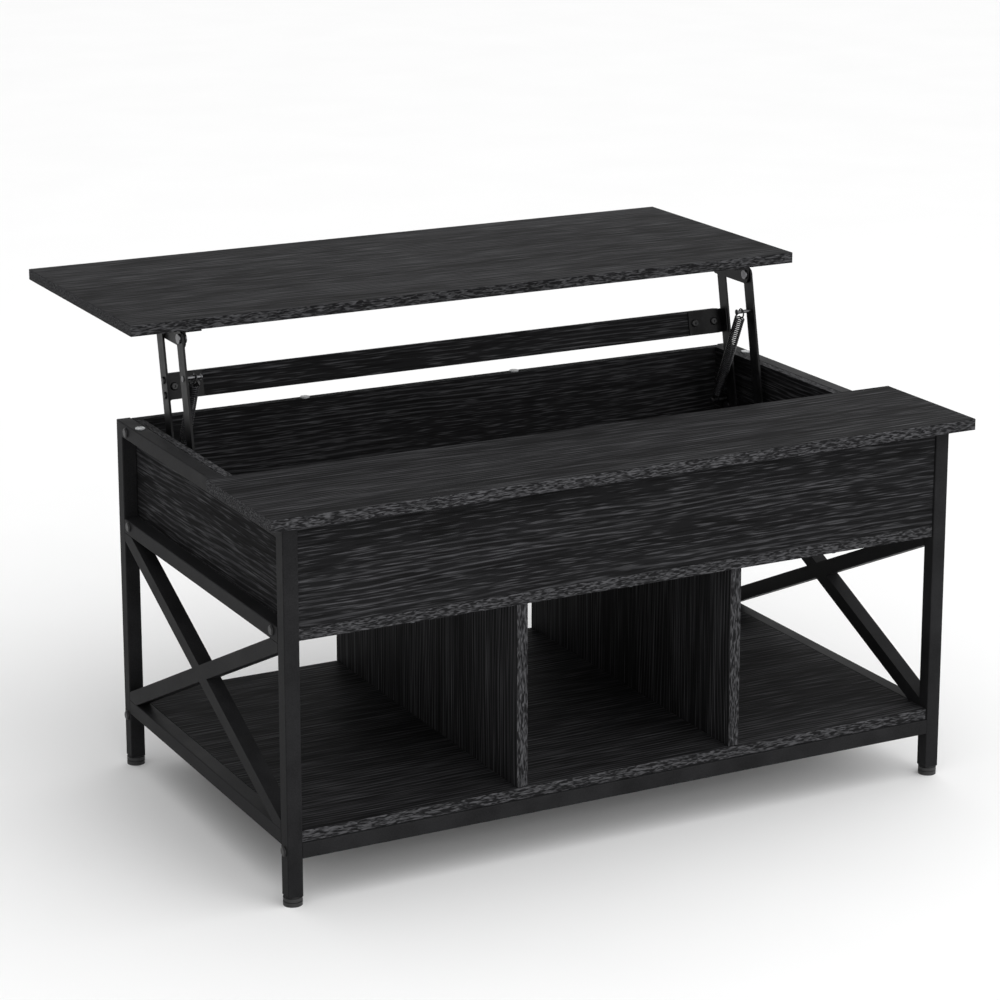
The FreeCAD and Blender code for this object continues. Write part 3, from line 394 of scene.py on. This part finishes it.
@dataclass(frozen=True)
class SatinBlack:
    """Pressed steel of the lift mechanism, dipped in satin black paint.

    The eye sees a smooth near-black with long soft glints, rubbed a little greyer where parts slide.

    Attributes:
        colour: the paint's colour.
        rubbed: the colour where it is rubbed thin.
        roughness: how widely a highlight spreads.
        gloss: specular level of the thin paint.
        scuff: size of the rubbed patches, in millimetres.
        sag: size of the paint's fine unevenness, in millimetres.
        sag_depth: its depth, in millimetres.
    """

    colour: str = "#0f0f10"
    rubbed: str = "#262627"
    roughness: float = 0.36
    gloss: float = 0.12
    scuff: float = 9.0
    sag: float = 0.9
    sag_depth: float = 0.05

    def build(self) -> bpy.types.Material:
        """Makes the material.

        Returns:
            The satin paint.
        """
        made, tree, shader = new_material("satin black paint, dipped", Specular_IOR_Level=self.gloss)
        place = add(tree, "TexCoord").outputs["Object"]
        scuff = add(tree, "TexNoise", {"Vector": place, "Scale": 1 / (self.scuff * MM), "Detail": 5.0,
                                       "Roughness": 0.7}).outputs["Fac"]
        fine = add(tree, "TexNoise", {"Vector": place, "Scale": 1 / (self.sag * MM),
                                      "Detail": 2.0}).outputs["Fac"]
        paint = add(tree, "ValToRGB", [scuff],
                    [(0.5, linear(self.colour)), (0.78, linear(self.rubbed))]).outputs[0]
        rough = add(tree, "MapRange", [scuff, 0.3, 0.7, self.roughness - 0.05, self.roughness + 0.12])
        surface(tree, shader, paint, rough.outputs[0], fine, 0.12, self.sag_depth)
        return made


@dataclass(frozen=True)
class MouldedNylon:
    """Black nylon of the feet and tube inserts, injection moulded in an eroded tool.

    The eye sees a dead black with a fine even stipple and a dusty sheen.

    Attributes:
        colour: the plastic's colour.
        dusty: the colour where dust lies on it.
        stipple: size of the tool's texture, in millimetres.
        stipple_depth: its depth, in millimetres.
        dust: size of the dusty patches, in millimetres.
    """

    colour: str = "#161616"
    dusty: str = "#262627"
    stipple: float = 0.8
    stipple_depth: float = 0.08
    dust: float = 11.0

    def build(self) -> bpy.types.Material:
        """Makes the material.

        Returns:
            The moulded plastic.
        """
        made, tree, shader = new_material("black nylon, moulded", IOR=1.53)
        place = add(tree, "TexCoord").outputs["Object"]
        grain = add(tree, "TexVoronoi", {"Vector": place,
                                         "Scale": 1 / (self.stipple * MM)}).outputs["Distance"]
        dust = add(tree, "TexNoise", {"Vector": place, "Scale": 1 / (self.dust * MM),
                                      "Detail": 3.0}).outputs["Fac"]
        skin = add(tree, "ValToRGB", [dust],
                   [(0.35, linear(self.colour)), (0.75, linear(self.dusty))]).outputs[0]
        rough = add(tree, "MapRange", [dust, 0.3, 0.7, 0.5, 0.68]).outputs[0]
        surface(tree, shader, skin, rough, grain, 0.25, self.stipple_depth)
        return made


@dataclass(frozen=True)
class CastPolyurethane:
    """Soft clear polyurethane of the self-adhesive bumpers, cast in drops.

    The eye sees a milky disc, brighter than the board under it, with a wet highlight.

    Attributes:
        colour: the milky body colour.
        thin: the colour where the body is clearer.
        haze: size of the milky patches, in millimetres.
        clearness: share of the light that passes into it.
    """

    colour: str = "#d4d6d8"
    thin: str = "#b4b6b8"
    haze: float = 5.0
    clearness: float = 0.3

    def build(self) -> bpy.types.Material:
        """Makes the material.

        Returns:
            The bumpers' polyurethane.
        """
        made, tree, shader = new_material("clear polyurethane, cast", IOR=1.49,
                                          Transmission_Weight=self.clearness)
        place = add(tree, "TexCoord").outputs["Object"]
        haze = add(tree, "TexNoise", {"Vector": place, "Scale": 1 / (self.haze * MM),
                                      "Detail": 2.0}).outputs["Fac"]
        body = add(tree, "ValToRGB", [haze],
                   [(0.3, linear(self.thin)), (0.7, linear(self.colour))]).outputs[0]
        wet = add(tree, "MapRange", [haze, 0.3, 0.7, 0.2, 0.34]).outputs[0]
        surface(tree, shader, body, wet)
        return made


# ---------------------------------------------------------------- the table's parts


@dataclass
class SteelFrame:
    """The two welded side frames and the long rails between them.

    Attributes:
        coat: the finish of every tube.
    """

    coat: PowderCoat = field(default_factory=PowderCoat)

    def tubes(self) -> list[str]:
        """The names of the tubes' nodes, picked by how they start."""
        kinds = ("leg_", "side_", "brace_", "long_rail_")
        return [name for name in frame["nodes"] if name.startswith(kinds)]

    def finish(self) -> None:
        """Dresses the tubes."""
        dress(self.tubes(), self.coat.build())


@dataclass(frozen=True)
class Cut:
    """Boards that were cut the same way from the same decor sheet.

    Attributes:
        grain: the direction of their grain.
        flat: the axis that their large faces look along.
        glint_length: how long the painted glints on the sheet are, in millimetres.
        names: the boards' nodes.
    """

    grain: Axis
    flat: Axis
    glint_length: float
    names: tuple[str, ...]


@dataclass
class Boards:
    """Every board, each with the grain the way it was cut.

    Attributes:
        cuts: tops, shelf and floor with long quiet streaks of painted glint; upright boards along the
        table with short ones; the box's ends likewise; the dividers with the longest streaks, upright.
        seed_step: how far each board's pattern is shifted against the one before.
    """

    cuts: tuple[Cut, ...] = (
        Cut(Axis.LENGTH, Axis.HEIGHT, 75.0, ("fixed_strip", "lid_top", "shelf_board", "box_floor")),
        Cut(Axis.LENGTH, Axis.DEPTH, 40.0, ("box_front_panel", "box_back_panel", "crossbar")),
        Cut(Axis.DEPTH, Axis.LENGTH, 40.0, ("box_side_left", "box_side_right")),
        Cut(Axis.HEIGHT, Axis.LENGTH, 130.0, ("divider_left", "divider_right")),
    )
    seed_step: float = 3.7

    def finish(self) -> None:
        """Gives each board a laminate of its own, so that no grain repeats."""
        seed = 1.0
        for cut in self.cuts:
            for name in cut.names:
                dress([name], EmbossedLaminate(cut.grain, cut.flat, seed, cut.glint_length).build())
                seed += self.seed_step


@dataclass
class LiftSpring:
    """One lift spring, wound from a single wire with an eye bent up at each end.

    Attributes:
        side: left or right.
        coil: radius of the coil at the middle of its wire, in metres.
        wire: radius of the wire, in metres.
        turns: number of turns between the eyes.
        pin_radius: radius of the pins that the eyes hang on, in metres.
        play: gap between an eye and its pin, in metres.
        loop: how far the wire goes round in each eye, as an angle.
        soft: angle over which the helix passes into an eye, to each side of the change.
        end_share: how much of its radius the wire keeps at its ends.
        sides: faces round the wire.
        steps: points along one turn.
    """

    side: str
    coil: float = 6.4 * MM
    wire: float = 1.1 * MM
    turns: int = 42
    pin_radius: float = 2.5 * MM
    play: float = 0.03 * MM
    loop: float = 1.62 * math.pi
    soft: float = 0.75
    end_share: float = 0.55
    sides: int = 10
    steps: int = 22

    def joint(self, motion: str) -> dict[str, Any]:
        """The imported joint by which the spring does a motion: turn or stretch."""
        return next(j for j in frame["joints"] if j["name"] == f"lift_spring_{self.side}_{motion}")

    def path(self, run: float, slack: float) -> tuple[np.ndarray, np.ndarray]:
        """The wire's centre line and the point that each of its points circles.

        A helix about the spring's own Z runs between the eyes. Each eye is a circle in the YZ plane
        round its pin. Near each end of the helix a smooth weight passes from the one to the other.

        Args:
            run: distance between the two pins.
            slack: how far each eye's middle sits inside its pin, because the spring pulls on it.

        Returns:
            The points and their hubs, both as arrays of shape (points, 3).
        """
        whole = 2 * math.pi * self.turns
        count = int((whole + 2 * self.loop) / (2 * math.pi) * self.steps)
        turn = np.linspace(-self.loop, whole + self.loop, count)
        low, high = slack, run - slack
        first, last = low + self.coil + self.wire, high - self.coil - self.wire
        rise = first + (last - first) * turn / whole
        zero = np.zeros_like(turn)
        helix = np.stack([self.coil * np.sin(turn), self.coil * np.cos(turn), rise], 1)
        lower = np.stack([zero, self.coil * np.cos(turn), low + self.coil * np.sin(turn)], 1)
        after = turn - whole
        upper = np.stack([zero, self.coil * np.cos(after), high + self.coil * np.sin(after)], 1)
        share_low = np.clip((self.soft - turn) / (2 * self.soft), 0, 1)
        share_high = np.clip((after + self.soft) / (2 * self.soft), 0, 1)
        share_low = (share_low ** 2 * (3 - 2 * share_low))[:, None]
        share_high = (share_high ** 2 * (3 - 2 * share_high))[:, None]
        middle = 1 - share_low - share_high
        points = helix * middle + lower * share_low + upper * share_high
        hubs = np.stack([zero, zero, rise], 1) * middle
        hubs += np.array([0, 0, low]) * share_low + np.array([0, 0, high]) * share_high
        return points, hubs

    def mesh(self, run: float, slack: float) -> tuple[np.ndarray, np.ndarray]:
        """A round wire carried along the path.

        At each point two directions square to the path span the wire's section: one away from the
        hub, with its part along the path taken out, and their cross product. A circle of points is
        laid in that plane. The first and last rings are smaller, which rounds the wire's ends.

        Args:
            run: distance between the two pins.
            slack: how far each eye's middle sits inside its pin.

        Returns:
            Vertices of shape (n, 3) and quads of shape (m, 4), in the spring's own frame.
        """
        points, hubs = self.path(run, slack)
        ahead = np.gradient(points, axis=0)
        ahead /= np.linalg.norm(ahead, axis=1, keepdims=True)
        out = points - hubs
        out -= ahead * np.sum(out * ahead, axis=1, keepdims=True)
        out /= np.linalg.norm(out, axis=1, keepdims=True)
        square = np.cross(ahead, out)
        angle = np.linspace(0, 2 * math.pi, self.sides, endpoint=False)
        radius = np.full(len(points), self.wire)
        radius[[0, -1]] = self.wire * self.end_share
        ring = (np.cos(angle)[None, :, None] * out[:, None]
                + np.sin(angle)[None, :, None] * square[:, None])
        vertices = points[:, None] + ring * radius[:, None, None]
        rows, columns = np.meshgrid(np.arange(len(points) - 1), np.arange(self.sides), indexing="ij")
        beside = (columns + 1) % self.sides
        quads = np.stack([rows * self.sides + columns, rows * self.sides + beside,
                          (rows + 1) * self.sides + beside, (rows + 1) * self.sides + columns], -1)
        return vertices.reshape(-1, 3), quads.reshape(-1, 4)

    def build(self, material: bpy.types.Material) -> bpy.types.Object:
        """Winds the spring in place of its two CAD nodes, stretched between its eyes.

        Args:
            material: the spring wire's finish.

        Returns:
            The spring's object.
        """
        lower_pin = np.array(self.joint("turn")["pos_m"], float)
        along = np.array(self.joint("stretch")["axis"], float)
        eye_low, eye_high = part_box(f"spring_eye_{self.side}")
        eye = (np.array(eye_low, float) + np.array(eye_high, float)) / 2
        reach = float((eye - lower_pin) @ along)
        slack = self.coil - self.wire - self.pin_radius - self.play
        run = reach + slack
        local, quads = self.mesh(run, slack)
        across = np.array([1.0, 0.0, 0.0])
        third = np.cross(along, across)
        placed = lower_pin + local[:, :1] * across + local[:, 1:2] * third + local[:, 2:] * along
        ends = [list(range(self.sides))[::-1], list(range(len(placed) - self.sides, len(placed)))]
        shape = bpy.data.meshes.new(f"spring_{self.side}")
        shape.from_pydata(placed.tolist(), [], quads.tolist() + ends)
        shape.validate()
        shape.polygons.foreach_set("use_smooth", np.ones(len(shape.polygons), bool))
        shape.materials.append(material)
        made = bpy.data.objects.new(f"spring_{self.side}", shape)
        bpy.context.scene.collection.objects.link(made)
        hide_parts(f"lift_spring_{self.side}", f"spring_eye_{self.side}")
        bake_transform(made)
        log.info("%s: %d faces over %.0f mm", made.name, len(shape.polygons), run / MM)
        return made


@dataclass
class LiftMechanism:
    """The parallel arms, their brackets, pins and bolts, and the springs.

    Attributes:
        paint: the finish of arms and brackets.
        springs: the two springs.
    """

    paint: SatinBlack = field(default_factory=SatinBlack)
    springs: tuple[LiftSpring, ...] = (LiftSpring("left"), LiftSpring("right"))

    def finish(self) -> None:
        """Dresses the steel parts and winds the springs."""
        painted = ("base_bracket_left", "base_bracket_right", "rear_arm", "front_arm",
                   "top_bracket_left", "top_bracket_right", "crossbar_bracket")
        bare = ("base_rivets", "top_pivot_pins", "spring_anchors", "spring_pin")
        rivet = Metal("mild steel rivets, headed", "#6d6d6f", 0.34)
        for kinds, finish in ((painted, self.paint), (bare, rivet)):
            dress([name for name in frame["nodes"] if name.startswith(kinds)], finish.build())
        wire = Metal("spring steel wire, oil blacked", "#333335", 0.27, mark=1.1, shine=0.85).build()
        for spring in self.springs:
            spring.build(wire)


@dataclass
class Fasteners:
    """Bolts and screws.

    Attributes:
        black: nodes with a black oxide finish.
        zinc: nodes with a zinc finish.
    """

    black: tuple[str, ...] = ("frame_bolts", "arm_bolts", "crossbar_bolts")
    zinc: tuple[str, ...] = ("long_screws", "base_bracket_screws", "top_bracket_screws")

    def finish(self) -> None:
        """Dresses the bolts and screws."""
        dress(self.black, Metal("black oxide steel, forged", "#1a1a1b", 0.4, shine=0.35).build())
        dress(self.zinc, Metal("zinc plated steel, rolled", "#7d8084", 0.36).build())


@dataclass
class Feet:
    """The levelling feet, the inserts that hold them and the lid's bumpers."""

    def finish(self) -> None:
        """Dresses the feet, inserts and bumpers."""
        names = [name for name in frame["nodes"] if name.startswith("foot_")]
        dress(names + ["tube_inserts"], MouldedNylon().build())
        dress(["bumpers"], CastPolyurethane().build())


# ---------------------------------------------------------------- studio


@dataclass
class SoftBox:
    """A soft rectangular lamp that faces a point.

    Attributes:
        name: the lamp's name.
        place: where it hangs, in metres.
        target: the point it faces.
        size: its width and height.
        power: its power in watts.
    """

    name: str
    place: tuple[float, float, float]
    target: tuple[float, float, float]
    size: tuple[float, float]
    power: float

    def hang(self) -> None:
        """Puts the lamp in the scene."""
        lamp = bpy.data.lights.new(self.name, "AREA")
        lamp.shape = "RECTANGLE"
        lamp.size, lamp.size_y = self.size
        lamp.energy = self.power
        made = bpy.data.objects.new(self.name, lamp)
        made.location = self.place
        way = np.array(self.target, float) - np.array(self.place, float)
        level = float(np.hypot(way[0], way[1]))
        made.rotation_euler = (math.atan2(level, -way[2]), 0, math.atan2(way[1], way[0]) - math.pi / 2)
        bpy.context.scene.collection.objects.link(made)


@dataclass
class Studio:
    """The pale floor, the soft lamps and the camera.

    Attributes:
        floor_size: side of the floor, in metres.
        pale: the floor's colour.
        sky: brightness of the white surroundings, on average.
        lean: how much brighter than the average they are on the bright side, as a share.
        bright_side: the direction of the bright side.
        lamps: the soft boxes.
        camera_place: the camera's place.
        heading: how far it turns from +Y towards +X, in radians.
        dip: how far it looks down, in radians.
        lens: focal length in millimetres on a 36 mm sensor.
        drop: the lens's shift down, as a share of the picture.
    """

    floor_size: float = 60.0
    pale: str = "#f4f4f4"
    sky: float = 1.04
    lean: float = 0.6
    bright_side: tuple[float, float, float] = (0.95, -0.3, 0.1)
    lamps: tuple[SoftBox, ...] = (
        SoftBox("top box", (-0.3, -0.4, 3.4), (0.0, 0.0, 0.3), (3.2, 2.6), 12.0),
        SoftBox("front box", (1.2, -4.2, 1.6), (0.0, 0.0, 0.3), (3.0, 1.8), 34.0),
    )
    camera_place: tuple[float, float, float] = (-1.8218, -3.5229, 1.5067)
    heading: float = 0.4812
    dip: float = 0.2353
    lens: float = 109.05
    drop: float = 0.15

    def floor(self) -> None:
        """Lays a pale floor whose paper has the faintest mottle."""
        half = self.floor_size / 2
        shape = bpy.data.meshes.new("floor")
        corners = [(-half, -half, 0), (half, -half, 0), (half, half, 0), (-half, half, 0)]
        shape.from_pydata(corners, [], [(0, 1, 2, 3)])
        made, tree, shader = new_material("white paper, rolled", Roughness=0.9, Specular_IOR_Level=0.1)
        place = add(tree, "TexCoord").outputs["Object"]
        mottle = add(tree, "TexNoise", {"Vector": place, "Scale": 3.0, "Detail": 2.0}).outputs["Fac"]
        paper = add(tree, "ValToRGB", [mottle], [(0.3, linear(self.pale, 0.985)), (0.7, linear(self.pale))])
        tree.links.new(paper.outputs[0], shader.inputs["Base Color"])
        shape.materials.append(made)
        floor = bpy.data.objects.new("floor", shape)
        bpy.context.scene.collection.objects.link(floor)

    def surroundings(self) -> None:
        """Surrounds the table with soft white light, brighter to its right than to its left."""
        world = bpy.data.worlds.new("white surroundings")
        world.use_nodes = True
        tree = world.node_tree
        way = add(tree, "TexCoord").outputs["Generated"]
        ahead = add(tree, "VectorMath", [way, self.bright_side], operation="DOT_PRODUCT").outputs["Value"]
        low, high = self.sky * (1 - self.lean), self.sky * (1 + self.lean)
        strength = add(tree, "MapRange", [ahead, -1.0, 1.0, low, high]).outputs[0]
        back = tree.nodes["Background"]
        back.inputs["Color"].default_value = (1.0, 1.0, 1.0, 1.0)
        tree.links.new(strength, back.inputs["Strength"])
        bpy.context.scene.world = world
        bpy.context.scene.view_settings.view_transform = "Standard"

    def camera(self) -> None:
        """Sets up the camera."""
        lens = bpy.data.cameras.new("camera")
        lens.sensor_width = 36.0
        lens.lens = self.lens
        lens.shift_y = -self.drop
        lens.clip_start, lens.clip_end = 0.05, 200.0
        made = bpy.data.objects.new("camera", lens)
        made.location = self.camera_place
        made.rotation_euler = (math.pi / 2 - self.dip, 0.0, -self.heading)
        bpy.context.scene.collection.objects.link(made)
        bpy.context.scene.camera = made

    def set_up(self) -> None:
        """Sets up the whole studio."""
        self.floor()
        self.surroundings()
        for lamp in self.lamps:
            lamp.hang()
        self.camera()


def main() -> None:
    """Dresses the table, part by part."""
    SteelFrame().finish()
    Boards().finish()
    LiftMechanism().finish()
    Fasteners().finish()
    Feet().finish()
    Studio().set_up()


if __name__ == "__main__":
    logging.basicConfig(level=logging.INFO)
    main()
